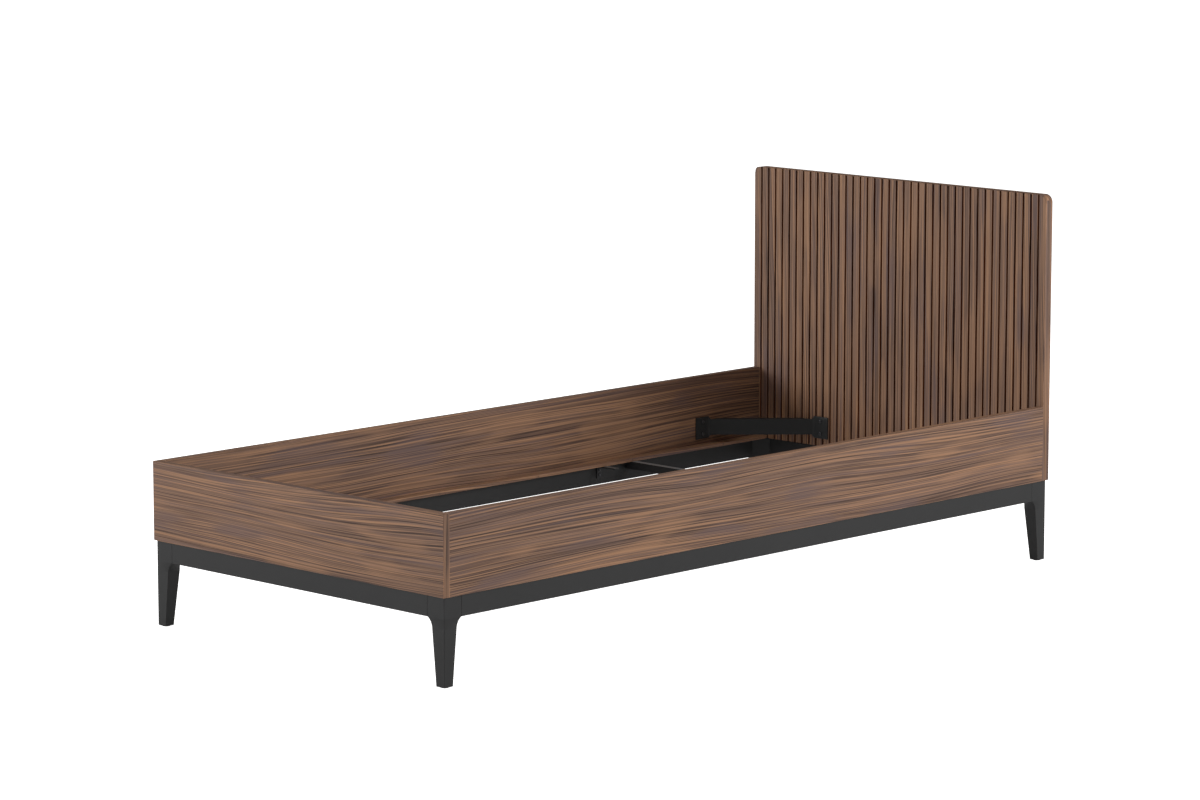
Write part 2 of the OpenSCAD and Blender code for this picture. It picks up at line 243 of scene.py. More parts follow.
walnut = {
    "dark": (0.036, 0.017, 0.010),
    "brown": (0.088, 0.045, 0.029),
    "mid": (0.142, 0.076, 0.048),
    "warm": (0.205, 0.114, 0.070),
    "gold": (0.330, 0.172, 0.088),
    "purple": (0.112, 0.069, 0.064),
    "bend": 0.085,      # how far the figure pushes the grain aside, in metres
    "sway": 0.012,      # how far the ripple pushes it
    "bands": 0.5,       # how strongly the broad bands show
    "rings": 140.0,     # growth rings in a metre across the grain
    "figure": (0.8, 6.0, 6.0),
    "ripple": (1.9, 15.0, 15.0),
    "patch": (0.8, 5.0, 5.0),
    "cloud": (1.6, 9.0, 9.0),
    "pores": (6.0, 620.0, 0.0),
    "lines": {
        # how many in a metre along and across the grain, detail, offset
        "band": (0.4, 24.0, 2.0, 0.0),
        "streak": (0.7, 110.0, 2.0, 0.0),
        "hair": (1.1, 400.0, 1.5, 0.0),
        "fleck": (5.0, 520.0, 1.0, 0.13),
        "tint": (0.5, 80.0, 1.0, 0.37),
        "glow": (0.6, 150.0, 1.0, 0.61),
    },
}


def makeWalnutGroup():
    # X of the vector runs along the grain; Y and Z together make the place across it, so that
    # the lines stay whole on the faces and the edges of a board alike
    tree, entry, leave = newGroup(
        "walnutFigure",
        [("Vector", "Vector", None), ("Rings", "Float", 0.5), ("Streaks", "Float", 1.0),
         ("Tone", "Float", 0.0)],
        [("Color", "Color"), ("Roughness", "Float"), ("Height", "Float")],
    )
    w = Wiring(tree)
    vector = entry.outputs["Vector"]
    parts = w.node("ShaderNodeSeparateXYZ")
    w.plug(vector, parts.inputs[0])
    # the grain's own position across the board: the place, bent by the figure
    figure = w.noise(w.scaled(vector, walnut["figure"]), 1.0, 1.0, 0.35)
    ripple = w.noise(w.scaled(vector, walnut["ripple"]), 1.0, 1.0, 0.5)
    across = w.math("MULTIPLY_ADD", figure, walnut["bend"], parts.outputs["Y"])
    across = w.math("MULTIPLY_ADD", ripple, walnut["sway"], across)
    across = w.math("ADD", parts.outputs["Z"], across)
    flow = w.node("ShaderNodeCombineXYZ")
    w.plug(parts.outputs["X"], flow.inputs["X"])
    w.plug(across, flow.inputs["Y"])
    flow = flow.outputs[0]

    lines = {}
    for name, (along, wide, detail, offset) in walnut["lines"].items():
        stretched = w.scaled(flow, (along, wide, 0.0))
        lines[name] = w.noise(stretched, 1.0 + offset, detail, 0.6)
    wobble = w.math("MULTIPLY", ripple, 1.3)
    ring = w.math("FRACT", w.math("MULTIPLY_ADD", across, walnut["rings"], wobble))
    late = w.math("MULTIPLY", w.span(ring, 0.45, 0.95), w.span(ring, 1.0, 0.95))
    patch = w.span(w.noise(w.scaled(vector, walnut["patch"]), 1.7, 1.0, 0.5), 0.42, 0.60, 0.3, 1.0)

    def lean(value, middle, share, tone):
        return w.math("MULTIPLY_ADD", w.math("SUBTRACT", value, middle), share, tone)

    streaks = entry.outputs["Streaks"]
    darkening = w.math("MULTIPLY", entry.outputs["Rings"], -1.0)
    tone = w.math("ADD", entry.outputs["Tone"], 0.5)
    tone = lean(lines["band"], 0.5, walnut["bands"], tone)
    tone = lean(lines["streak"], 0.5, w.math("MULTIPLY", streaks, 0.9), tone)
    tone = lean(lines["hair"], 0.5, w.math("MULTIPLY", streaks, 2.6), tone)
    tone = lean(lines["fleck"], 0.5, w.math("MULTIPLY", streaks, 1.0), tone)
    tone = lean(w.math("MULTIPLY", late, patch), 0.2, darkening, tone)
    colour = w.ramp(
        tone,
        [(0.0, walnut["dark"]), (0.28, walnut["brown"]), (0.52, walnut["mid"]),
         (0.76, walnut["warm"]), (1.0, walnut["gold"])],
        "LINEAR",
    )
    colour = w.mix(w.span(lines["tint"], 0.52, 0.68, 0.0, 0.5), colour, (*walnut["purple"], 1))
    cloud = w.noise(w.scaled(vector, walnut["cloud"]), 2.3, 1.5, 0.5)
    colour = w.mix(w.span(cloud, 0.54, 0.70, 0.0, 0.6), colour, (*walnut["purple"], 1))
    colour = w.mix(w.span(cloud, 0.44, 0.32, 0.0, 0.35), colour, (*walnut["gold"], 1))
    colour = w.mix(w.span(lines["glow"], 0.54, 0.66, 0.0, 0.75), colour, (*walnut["gold"], 1))
    pores = w.noise(w.scaled(flow, walnut["pores"]), 1.0, 1.0, 0.5)
    pore = w.span(pores, 0.60, 0.68)
    colour = w.mix(w.math("MULTIPLY", pore, 0.3), colour, (*walnut["dark"], 1))
    w.plug(colour, leave.inputs["Color"])
    dull = w.math("MULTIPLY_ADD", lines["hair"], 0.2, 0.42)
    w.plug(w.math("MULTIPLY_ADD", pore, 0.12, dull), leave.inputs["Roughness"])
    height = w.math("SUBTRACT", w.math("MULTIPLY", lines["hair"], 0.5), pore)
    w.plug(w.math("MULTIPLY_ADD", late, -0.25, height), leave.inputs["Height"])
    return tree


def makeArrisGroup():
    # finds edges, so that corners can be lighter: worn corners, and a painted highlight along the edges of
    # the wood
    tree, entry, leave = newGroup(
        "arrisWearAndSheen",
        [("Vector", "Vector", None), ("Radius", "Float", 0.001), ("Patchiness", "Float", 0.5)],
        [("Mask", "Float")],
    )
    w = Wiring(tree)
    bevel = w.node("ShaderNodeBevel", samples=4)
    w.plug(entry.outputs["Radius"], bevel.inputs["Radius"])
    plain = w.node("ShaderNodeNewGeometry")
    turn = w.node("ShaderNodeVectorMath", operation="DOT_PRODUCT")
    w.plug(bevel.outputs["Normal"], turn.inputs[0])
    w.plug(plain.outputs["Normal"], turn.inputs[1])
    edge = w.span(turn.outputs["Value"], 0.995, 0.86)
    patches = w.span(w.noise(entry.outputs["Vector"], 38.0, 4.0, 0.6), 0.35, 0.65)
    share = w.math("MULTIPLY", entry.outputs["Patchiness"], patches)
    keep = w.math("ADD", w.math("SUBTRACT", 1.0, entry.outputs["Patchiness"]), share)
    w.plug(w.math("MULTIPLY", edge, keep), leave.inputs["Mask"])
    return tree


walnutGroup = makeWalnutGroup()
arrisGroup = makeArrisGroup()

# turns that bring X along the grain
grainTurns = {
    "x": (0, 0, 0),
    "y": (0, 0, math.radians(-90)),
    "z": (0, math.radians(90), 0),
}


def walnutMaterial(name, grain, shift=(0, 0, 0), rings=0.5, streaks=1.0, tone=0.09, shade=None,
                   pitch=None, arris=0.45, gloss=0.25):
    material, w, shader = newMaterial(name)
    place = w.node("ShaderNodeTexCoord").outputs["Object"]
    mapping = w.node("ShaderNodeMapping", vector_type="POINT")
    mapping.inputs["Location"].default_value = shift
    mapping.inputs["Rotation"].default_value = grainTurns[grain]
    w.plug(place, mapping.inputs["Vector"])
    if pitch:
        # each batten is a little lighter or darker than the next
        across = w.node("ShaderNodeSeparateXYZ")
        w.plug(place, across.inputs[0])
        chance = w.node("ShaderNodeTexWhiteNoise", noise_dimensions="1D")
        w.plug(w.math("FLOOR", w.math("DIVIDE", across.outputs["X"], pitch)), chance.inputs["W"])
        tone = w.math("MULTIPLY_ADD", w.math("SUBTRACT", chance.outputs["Value"], 0.5), 0.16, tone)
    wood = w.group(
        walnutGroup, Vector=mapping.outputs["Vector"], Rings=rings, Streaks=streaks, Tone=tone
    )
    worn = w.group(arrisGroup, Vector=place, Radius=0.0011, Patchiness=0.4)
    colour = wood.outputs["Color"]
    if shade:
        colour = w.mix(1.0, colour, (*shade, 1), "MULTIPLY")
    # painted highlight: the wood is made lighter along its edges, partly for wear and partly standing in for
    # the light the edges catch
    if arris:
        lighter = w.mix(1.0, colour, (1.6, 1.6, 1.6, 1), "MULTIPLY")
        colour = w.mix(w.math("MULTIPLY", worn.outputs["Mask"], arris), colour, lighter)
    w.plug(colour, shader.inputs["Base Color"])
    w.plug(wood.outputs["Roughness"], shader.inputs["Roughness"])
    w.plug(w.bump(wood.outputs["Height"], 0.3, 0.0001), shader.inputs["Normal"])
    shader.inputs["Specular IOR Level"].default_value = gloss
    return material


charcoal = {
    "colour": (0.0150, 0.0150, 0.0152), "worn": (0.04, 0.04, 0.04), "roughness": 0.5, "gloss": 0.27,
}
powderCoat = {
    "brace": {"colour": (0.0145, 0.0150, 0.0152), "worn": (0.03, 0.031, 0.032), "roughness": 0.5,
              "gloss": 0.32, "peel": 0.3, "wear": 0.3},
    "bracket": {"colour": (0.014, 0.014, 0.015), "worn": (0.05, 0.05, 0.05), "roughness": 0.45,
                "gloss": 0.3, "peel": 0.3, "wear": 0.3, "paintedTopHighlight": (0.09, 0.09, 0.09)},
}
plastic = {
    "colour": (0.02, 0.02, 0.021), "worn": (0.05, 0.05, 0.05), "roughness": 0.6, "gloss": 0.3,
    "peel": 0.2, "wear": 0.2,
}


def lacquerMaterial(name, colour, worn, roughness, gloss, peel=0.12, wear=0.35, paintedTopHighlight=None):
    material, w, shader = newMaterial(name)
    place = w.node("ShaderNodeTexCoord").outputs["Object"]
    cloud = w.noise(place, 7.0, 4.0, 0.6)
    fine = w.noise(place, 620.0, 2.0, 0.5)
    speck = w.span(w.noise(place, 1500.0, 1.0, 0.5), 0.70, 0.76)
    edge = w.group(arrisGroup, Vector=place, Radius=0.0014, Patchiness=0.75)
    tone = w.span(cloud, 0.3, 0.7, 0.88, 1.12, False)
    tinted = w.node("ShaderNodeVectorMath", operation="SCALE")
    tinted.inputs[0].default_value = colour
    w.plug(tone, tinted.inputs["Scale"])
    shown = w.mix(w.math("MULTIPLY", speck, 0.25), tinted.outputs[0], (*worn, 1))
    shown = w.mix(w.math("MULTIPLY", edge.outputs["Mask"], wear), shown, (*worn, 1))
    if paintedTopHighlight:
        # painted highlight: the faces that point up are made lighter, standing in for the light they catch
        # from above
        facing = w.node("ShaderNodeSeparateXYZ")
        w.plug(w.node("ShaderNodeNewGeometry").outputs["Normal"], facing.inputs[0])
        shown = w.mix(w.span(facing.outputs["Z"], 0.9, 0.99), shown, (*paintedTopHighlight, 1))
    w.plug(shown, shader.inputs["Base Color"])
    w.plug(w.span(cloud, 0.25, 0.75, roughness - 0.05, roughness + 0.06, False), shader.inputs["Roughness"])
    w.plug(w.bump(fine, peel, 0.0003), shader.inputs["Normal"])
    shader.inputs["Specular IOR Level"].default_value = gloss
    return material


def metalMaterial(name, colour, roughness, metallic=1.0):
    material, w, shader = newMaterial(name)
    place = w.node("ShaderNodeTexCoord").outputs["Object"]
    cloud = w.noise(place, 160.0, 4.0, 0.6)
    scratch = w.noise(w.scaled(place, (900.0, 60.0, 400.0)), 1.0, 3.0, 0.6)
    darker = tuple(c * 0.72 for c in colour)
    w.plug(w.mix(w.span(cloud, 0.3, 0.7), (*darker, 1), (*colour, 1)), shader.inputs["Base Color"])
    w.plug(w.span(scratch, 0.3, 0.7, roughness - 0.08, roughness + 0.12, False), shader.inputs["Roughness"])
    w.plug(w.bump(scratch, 0.15, 0.0001), shader.inputs["Normal"])
    shader.inputs["Metallic"].default_value = metallic
    return material


def beechMaterial(name):
    material, w, shader = newMaterial(name)
    place = w.node("ShaderNodeTexCoord").outputs["Object"]
    fleck = w.noise(w.scaled(place, (900.0, 300.0, 900.0)), 1.0, 3.0, 0.6)
    colour = w.ramp(fleck, [(0.3, (0.38, 0.24, 0.12)), (0.7, (0.62, 0.44, 0.26))])
    w.plug(colour, shader.inputs["Base Color"])
    w.plug(w.span(fleck, 0.3, 0.7, 0.5, 0.65, False), shader.inputs["Roughness"])
    w.plug(w.bump(fleck, 0.2, 0.0002), shader.inputs["Normal"])
    return material


materials = {
    "rail": walnutMaterial("walnutRail", "y", tone=0.01),
    "foot": walnutMaterial("walnutFoot", "x", shift=(3.1, 0.4, 0.2), tone=0.01),
    "back": walnutMaterial("walnutBack", "z", shift=(5.0, 2.0, 0.0), tone=-0.05),
    "edgeY": walnutMaterial("walnutEdgeLong", "y", shift=(9.0, 0.9, 3.0), rings=0.1, tone=0.08),
    "edgeX": walnutMaterial("walnutEdgeAcross", "x", shift=(2.0, 7.0, 3.0), rings=0.1, tone=0.08),
    "edgeZ": walnutMaterial("walnutEdgeUpright", "z", shift=(4.0, 5.0, 1.0), rings=0.1, tone=-0.06),
    # painted light: the ledges are a lighter tone than the rails, standing in for the extra light that falls
    # on them
    "ledge": walnutMaterial("walnutLedge", "y", shift=(6.0, 0.3, 8.0), rings=0.3, tone=0.25),
    "charcoal": lacquerMaterial("charcoalLacquer", **charcoal),
    # painted highlight: the bar's faces that point up are lighter, as if lit from above
    "bar": lacquerMaterial("barLacquer", **charcoal, paintedTopHighlight=(0.16, 0.16, 0.16)),
    "brace": lacquerMaterial("bracePowderCoat", **powderCoat["brace"]),
    "bracket": lacquerMaterial("bracketPowderCoat", **powderCoat["bracket"]),
    "screwBlack": metalMaterial("blackScrew", (0.09, 0.09, 0.095), 0.35),
    "bronze": metalMaterial("bronzeScrew", (0.12, 0.075, 0.05), 0.5, 0.4),
    "zinc": metalMaterial("zincScrew", (0.62, 0.62, 0.6), 0.32),
    "beech": beechMaterial("beechDowel"),
    "plastic": lacquerMaterial("glidePlastic", **plastic),
}
print("materials made")


def newPiece(name, bm, nodes, used, flatOver=2e-4):
    # turns the working mesh into an object that rides on the frame in place of its CAD nodes
    bmesh.ops.recalc_face_normals(bm, faces=bm.faces)
    for face in bm.faces:
        face.smooth = face.calc_area() < flatOver
    mesh = bpy.data.meshes.new(name)
    bm.to_mesh(mesh)
    bm.free()
    for key in used:
        mesh.materials.append(materials[key])
    piece = bpy.data.objects.new(name, mesh)
    bpy.context.collection.objects.link(piece)
    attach(piece, "root")
    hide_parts(*nodes)


def pieceName(node):
    # the node's name in camelCase
    words = node.split("_")
    return words[0] + "".join(word.capitalize() for word in words[1:])


def block(bm, low, high):
    made = bmesh.ops.create_cube(bm, size=1.0)
    size = Vector(high) - Vector(low)
    bmesh.ops.scale(bm, vec=size, verts=made["verts"])
    bmesh.ops.translate(bm, vec=(Vector(low) + Vector(high)) / 2, verts=made["verts"])


def roundEdges(bm, edges, radius, segments=2):
    bmesh.ops.bevel(
        bm, geom=edges, offset=radius, segments=segments, affect="EDGES", profile=0.5,
        material=-1, clamp_overlap=True,
    )


def softenSharp(bm, radius):
    roundEdges(bm, [e for e in bm.edges if e.calc_face_angle(0) > 1.0], radius)


def thicken(bm, thickness, inside):
    # gives a sheet its thickness on the side where the point lies
    bm.normal_update()
    bmesh.ops.recalc_face_normals(bm, faces=bm.faces)
    largest = max(bm.faces, key=lambda face: face.calc_area())
    if (inside - largest.calc_center_median()).dot(largest.normal) > 0:
        bmesh.ops.reverse_faces(bm, faces=bm.faces[:])
    bmesh.ops.solidify(bm, geom=bm.faces[:], thickness=thickness)


def lathe(bm, profile, segments):
    # turns a profile of radii and heights round Z
    verts = [bm.verts.new((radius, 0, z)) for radius, z in profile]
    edges = [bm.edges.new(pair) for pair in zip(verts, verts[1:])]
    bmesh.ops.spin(
        bm, geom=verts + edges, cent=(0, 0, 0), axis=(0, 0, 1), angle=math.tau,
        steps=segments, use_merge=True,
    )
    bmesh.ops.remove_doubles(bm, verts=bm.verts[:], dist=1e-7)


def boardPiece(name, node, used, radius, segments=2):
    low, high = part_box(node)
    bm = bmesh.new()
    block(bm, low, high)
    roundEdges(bm, bm.edges[:], radius, segments)
    newPiece(name, bm, [node], used)


headboard = {
    "pitch": 0.024,
    "grooveWidth": 0.005,
    "grooveDepth": 0.005,
    "cornerRadius": 0.020,
    "bandThickness": 0.001,
    "arris": 0.0007,
    "cornerSteps": 12,
}
materials["fluted"] = walnutMaterial(
    "walnutFluted", "z", shift=(0.7, 1.3, 0.5), streaks=0.7, tone=0.12, pitch=headboard["pitch"]
)
materials["groove"] = walnutMaterial(
    "walnutGroove", "z", shift=(0.7, 1.3, 0.5), rings=0.1, arris=0.0, shade=(0.60, 0.35, 0.21), gloss=0.08
)


def grooveMiddles():
    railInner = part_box("side_rail_right")[0].x
    reach = railInner - headboard["grooveWidth"] / 2 - 0.001
    count = math.floor(reach / headboard["pitch"])
    return [i * headboard["pitch"] for i in range(-count, count + 1)]


def makeFlutedPanel():
    low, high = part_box("headboard_front_panel")
    half, deep = headboard["grooveWidth"] / 2, low.y + headboard["grooveDepth"]
    outline = [(high.x, low.y), (high.x, high.y), (low.x, high.y), (low.x, low.y)]
    for middle in grooveMiddles():
        outline += [(middle - half, low.y), (middle - half, deep)]
        outline += [(middle + half, deep), (middle + half, low.y)]
    bm = bmesh.new()
    bottom = bm.faces.new([bm.verts.new((x, y, low.z)) for x, y in outline])
    up = bmesh.ops.extrude_face_region(bm, geom=[bottom])
    raised = [v for v in up["geom"] if isinstance(v, bmesh.types.BMVert)]
    bmesh.ops.translate(bm, vec=(0, 0, high.z - low.z), verts=raised)
    # the long edge at the back is among these too, and it keeps the radius down to the thickness
    corners = [
        e for e in bm.edges
        if all(v.co.z > high.z - 1e-6 for v in e.verts)
        and all(abs(abs(v.co.x) - high.x) < 1e-6 for v in e.verts)
    ]
    roundEdges(bm, corners, headboard["cornerRadius"] - headboard["bandThickness"], headboard["cornerSteps"])
    arrises = [
        e for e in bm.edges
        if all(v.co.y < low.y + 1e-6 for v in e.verts)
        and abs(e.verts[0].co.z - e.verts[1].co.z) > 0.3
        and abs(e.verts[0].co.x) < high.x - 0.001
    ]
    roundEdges(bm, arrises, headboard["arris"], 3)
    for face in bm.faces:
        middle = face.calc_center_median()
        inGroove = low.y + headboard["arris"] * 1.2 < middle.y < deep + 1e-6
        if inGroove and abs(middle.x) < high.x - 0.02 and abs(face.normal.z) < 0.5:
            face.material_index = 1
    newPiece("flutedPanel", bm, ["headboard_front_panel"], ["fluted", "groove"])


def roundTopCorners(bm, high, radius):
    # rounds the two upper edges of a block that run from its front to its back
    corners = [
        e for e in bm.edges
        if all(v.co.z > high.z - 1e-6 for v in e.verts)
        and abs(e.verts[0].co.x - e.verts[1].co.x) < 1e-6
    ]
    roundEdges(bm, corners, radius, headboard["cornerSteps"])


def makeHeadboardBack():
    low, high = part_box("headboard_back_panel")
    bm = bmesh.new()
    block(bm, low, high)
    roundTopCorners(bm, high, headboard["cornerRadius"] - headboard["bandThickness"])
    newPiece("headboardBack", bm, ["headboard_back_panel"], ["back"])


def makeHeadboardBand():
    low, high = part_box("headboard_edge_band")
    bm = bmesh.new()
    block(bm, low, high)
    roundTopCorners(bm, high, headboard["cornerRadius"])
    openFaces = [f for f in bm.faces if abs(f.normal.y) > 0.9]
    bmesh.ops.delete(bm, geom=openFaces, context="FACES_ONLY")
    half, deep = headboard["grooveWidth"] / 2, low.y + headboard["grooveDepth"]
    cuts = [((middle + side, 0, 0), (1, 0, 0)) for middle in grooveMiddles() for side in (-half, half)]
    cuts.append(((0, deep, 0), (0, 1, 0)))
    for point, normal in cuts:
        everything = bm.verts[:] + bm.edges[:] + bm.faces[:]
        bmesh.ops.bisect_plane(bm, geom=everything, plane_co=point, plane_no=normal, dist=1e-6)
    notches = []
    for face in bm.faces:
        middle = face.calc_center_median()
        if middle.y < deep and any(abs(middle.x - groove) < half for groove in grooveMiddles()):
            notches.append(face)
    bmesh.ops.delete(bm, geom=notches, context="FACES")
    bmesh.ops.recalc_face_normals(bm, faces=bm.faces)
    bmesh.ops.solidify(bm, geom=bm.faces[:], thickness=headboard["bandThickness"])
    for face in bm.faces:
        middle = face.calc_center_median()
        face.material_index = 1 if abs(middle.x) < high.x - headboard["cornerRadius"] else 0
    newPiece("headboardBand", bm, ["headboard_edge_band"], ["edgeZ", "edgeX"])


makeFlutedPanel()
makeHeadboardBack()
makeHeadboardBand()
print("headboard made")

box = {"arris": 0.0004, "bandThickness": 0.001, "ledgeArris": 0.0006}


def makeFootboard():
    low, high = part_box("footboard_edge_band")
    thick = box["bandThickness"]
    boardPiece("footboardPanel", "footboard_panel", ["foot"], box["arris"] / 3, 1)
    bm = bmesh.new()
    block(bm, low, (high.x, high.y, low.z + thick))
    block(bm, (low.x, low.y, high.z - thick), high)
    block(bm, (low.x, low.y, low.z + thick), (low.x + thick, high.y, high.z - thick))
    block(bm, (high.x - thick, low.y, low.z + thick), (high.x, high.y, high.z - thick))
    roundEdges(bm, bm.edges[:], box["arris"])
    for face in bm.faces:
        face.material_index = 1 if abs(face.calc_center_median().x) > high.x - 2 * thick else 0
    newPiece("footboardBand", bm, ["footboard_edge_band"], ["edgeX", "edgeZ"])


def makeRail(side):
    node = "side_rail_" + side
    boardPiece(side + "Rail", node, ["rail"], box["arris"] / 3, 1)
    low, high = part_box(node + "_edge_band")
    thick = box["bandThickness"]
    bm = bmesh.new()
    block(bm, low, (high.x, high.y, low.z + thick))
    block(bm, (low.x, low.y, high.z - thick), high)
    roundEdges(bm, bm.edges[:], box["arris"])
    newPiece(side + "RailBand", bm, [node + "_edge_band"], ["edgeY"])


makeFootboard()
for side in ("left", "right"):
    makeRail(side)
    boardPiece(side + "Ledge", "ledge_" + side, ["ledge"], box["ledgeArris"])
print("footboard, rails and ledges made")

leg = {
    "foot": 0.026, "neck": 0.038, "top": 0.052, "apron": 0.020, "shoulder": 0.022,
    "arcSteps": 14, "innerArris": 0.002, "outerArris": 0.0008,
}
glide = {"arris": 0.0006, "stemRadius": 0.003, "stemTip": 0.0026}
apron = {"arris": 0.0009}


def legWidths(bottom, apronBottom, top):
    # heights and widths of the leg's cross-sections, from the floor to the top
    neckZ = apronBottom - leg["shoulder"]
    taper = Vector((leg["neck"] - leg["foot"], neckZ - bottom)).normalized()
    away = Vector((taper.y, -taper.x))
    rise = Vector((leg["top"] - leg["neck"], leg["shoulder"]))
    radius = rise.dot(rise) / (2 * rise.dot(away))
    middle = Vector((leg["neck"], neckZ)) + away * radius
    start = math.atan2(neckZ - middle.y, leg["neck"] - middle.x)
    end = math.atan2(apronBottom - middle.y, leg["top"] - middle.x)
    levels = [(bottom, leg["foot"])]
    for i in range(leg["arcSteps"] + 1):
        angle = start + (end - start) * i / leg["arcSteps"]
        levels.append((middle.y + radius * math.sin(angle), middle.x + radius * math.cos(angle)))
    return levels + [(top, leg["top"])]


def makeLeg(end, side):
    node = f"leg_{end}_{side}"
    low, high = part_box(node)
    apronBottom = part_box("apron_foot")[0].z
    outer = Vector((high.x if side == "right" else low.x, high.y if end == "head" else low.y))
    inwards = Vector((-1 if side == "right" else 1, -1 if end == "head" else 1))

    def section(width):
        cut = min(width - leg["innerArris"], leg["top"] + leg["apron"] - width)
        return [(0, 0), (width, 0), (width, cut), (cut, width), (0, width)]

    def place(vert, point, z):
        vert.co = (outer.x + inwards.x * point[0], outer.y + inwards.y * point[1], z)

    bm = bmesh.new()
    levels = legWidths(low.z, apronBottom, high.z)
    verts = [bm.verts.new() for _ in range(5)]
    for vert, point in zip(verts, section(levels[0][1])):
        place(vert, point, levels[0][0])
    face = bm.faces.new(verts)
    for z, width in levels[1:]:
        made = bmesh.ops.extrude_face_region(bm, geom=[face])
        newFace = [g for g in made["geom"] if isinstance(g, bmesh.types.BMFace)][0]
        order = newFace.verts[:]
        old = [v.co.copy() for v in verts]
        matched = [min(order, key=lambda vert, point=point: (vert.co - point).length) for point in old]
        if face.is_valid and z != levels[1][0]:
            bmesh.ops.delete(bm, geom=[face], context="FACES_ONLY")
        for vert, point in zip(matched, section(width)):
            place(vert, point, z)
        verts, face = matched, newFace
    bmesh.ops.recalc_face_normals(bm, faces=bm.faces)
    outerEdges = []
    for edge in bm.edges:
        a, b = (v.co for v in edge.verts)
        upright = abs(a.z - b.z) > 1e-5
        onX = all(abs(p.x - outer.x) < 1e-5 for p in (a, b))
        onY = all(abs(p.y - outer.y) < 1e-5 for p in (a, b))
        atFloor = a.z < low.z + 1e-6 and b.z < low.z + 1e-6
        if (upright and (onX or onY)) or atFloor:
            outerEdges.append(edge)
    roundEdges(bm, outerEdges, leg["outerArris"], 3)
    newPiece(f"{end}{side.capitalize()}Leg", bm, [node], ["charcoal"], 4e-4)


def makeGlide(end, side):
    node = f"glide_{end}_{side}"
    low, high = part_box(node)
    middle = (low + high) / 2
    radius = (high.x - low.x) / 2
    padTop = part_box(f"leg_{end}_{side}")[0].z
    bm = bmesh.new()
    pad = bmesh.ops.create_cone(
        bm, cap_ends=True, segments=40, radius1=radius, radius2=radius, depth=padTop - low.z
    )
    bmesh.ops.translate(bm, vec=(middle.x, middle.y, (padTop + low.z) / 2), verts=pad["verts"])
    rims = [e for e in bm.edges if abs(e.verts[0].co.z - e.verts[1].co.z) < 1e-7]
    roundEdges(bm, rims, glide["arris"], 3)
    stem = bmesh.ops.create_cone(
        bm, cap_ends=True, segments=20, radius1=glide["stemRadius"], radius2=glide["stemTip"],
        depth=high.z - padTop,
    )
    bmesh.ops.translate(bm, vec=(middle.x, middle.y, (padTop + high.z) / 2), verts=stem["verts"])
    newPiece(f"{end}{side.capitalize()}Glide", bm, [node], ["plastic"], 1e-4)


for end in ("foot", "head"):
    for side in ("left", "right"):
        makeLeg(end, side)
        makeGlide(end, side)
for place in ("left", "right", "foot", "head"):
    boardPiece(place + "Apron", "apron_" + place, ["charcoal"], apron["arris"], 3)
for end in ("foot", "head"):
    boardPiece(end + "CrossBar", "cross_bar_" + end, ["bar"], apron["arris"], 3)
print("base made")

brace = {
    "reach": 0.192, "flange": 0.048, "flangeHeight": 0.056, "webHeight": 0.040,
    "sheet": 0.003, "lip": 0.020, "bend": 0.006, "arris": 0.0005,
}


def makeBrace(end, side):
    node = f"corner_brace_{end}_{side}"
    low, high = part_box(node)
    outX = 1 if side == "right" else -1
    outY = 1 if end == "head" else -1
    corner = Vector((high.x if outX > 0 else low.x, high.y if outY > 0 else low.y))
    middleZ = (low.z + high.z) / 2
    rows = [
        middleZ - brace["flangeHeight"] / 2, middleZ - brace["webHeight"] / 2,
        middleZ + brace["webHeight"] / 2, middleZ + brace["flangeHeight"] / 2,
    ]
    reach = brace["reach"]
    flangeEnd = reach + brace["flange"]
    path = [(0, flangeEnd), (0, reach), (reach, 0), (flangeEnd, 0)]

    def at(u, v, z):
        return Vector((corner.x - outX * u, corner.y - outY * v, z))

    bm = bmesh.new()
    grid = [[bm.verts.new(at(u, v, z)) for z in rows] for u, v in path]
    for i in range(3):
        web = i == 1
        for j in range(3):
            if not web or j == 1:
                bm.faces.new((grid[i][j], grid[i + 1][j], grid[i + 1][j + 1], grid[i][j + 1]))
    bends = [
        e for e in bm.edges
        if {e.verts[0], e.verts[1]} in ({grid[1][1], grid[1][2]}, {grid[2][1], grid[2][2]})
    ]
    roundEdges(bm, bends, brace["bend"], 5)
    thicken(bm, brace["sheet"], at(0.3, 0.3, middleZ))
    softenSharp(bm, brace["arris"])
    thick = brace["sheet"]
    lipClear = 2 * thick
    step = brace["lip"] * math.sqrt(2)
    lipTop = rows[2]
    plan = [
        (lipClear, reach - step - lipClear), (lipClear, reach - lipClear),
        (reach - lipClear, lipClear), (reach - step - lipClear, lipClear),
    ]
    lip = bm.faces.new([bm.verts.new(at(u, v, lipTop - thick)) for u, v in plan])
    raised = bmesh.ops.extrude_face_region(bm, geom=[lip])
    tops = [g for g in raised["geom"] if isinstance(g, bmesh.types.BMVert)]
    bmesh.ops.translate(bm, vec=(0, 0, thick), verts=tops)
    rim = [e for e in bm.edges if all(v in tops for v in e.verts)]
    roundEdges(bm, rim, brace["arris"])
    newPiece(f"{end}{side.capitalize()}Brace", bm, [node], ["brace"], 4e-4)


for end in ("foot", "head"):
    for side in ("left", "right"):
        makeBrace(end, side)
print("corner braces made")

bracket = {"angleSteel": 0.002, "tabSteel": 0.003, "bend": 0.0025, "arris": 0.0003}


def makeBentStrip(node, path, width, sheet, inside):
    # a strip of sheet steel with one bend: the path is its outer face and the width runs across it
    bm = bmesh.new()
    verts = [bm.verts.new(point) for point in path]
    edges = [bm.edges.new(pair) for pair in zip(verts, verts[1:])]
    made = bmesh.ops.extrude_edge_only(bm, edges=edges)["geom"]
    far = [v for v in made if isinstance(v, bmesh.types.BMVert)]
    bmesh.ops.translate(bm, vec=width, verts=far)
    bend = [e for e in bm.edges if len(e.link_faces) == 2]
    roundEdges(bm, bend, bracket["bend"], 4)
    thicken(bm, sheet, inside)
    softenSharp(bm, bracket["arris"])
    newPiece(pieceName(node), bm, [node], ["bracket"], 3e-4)


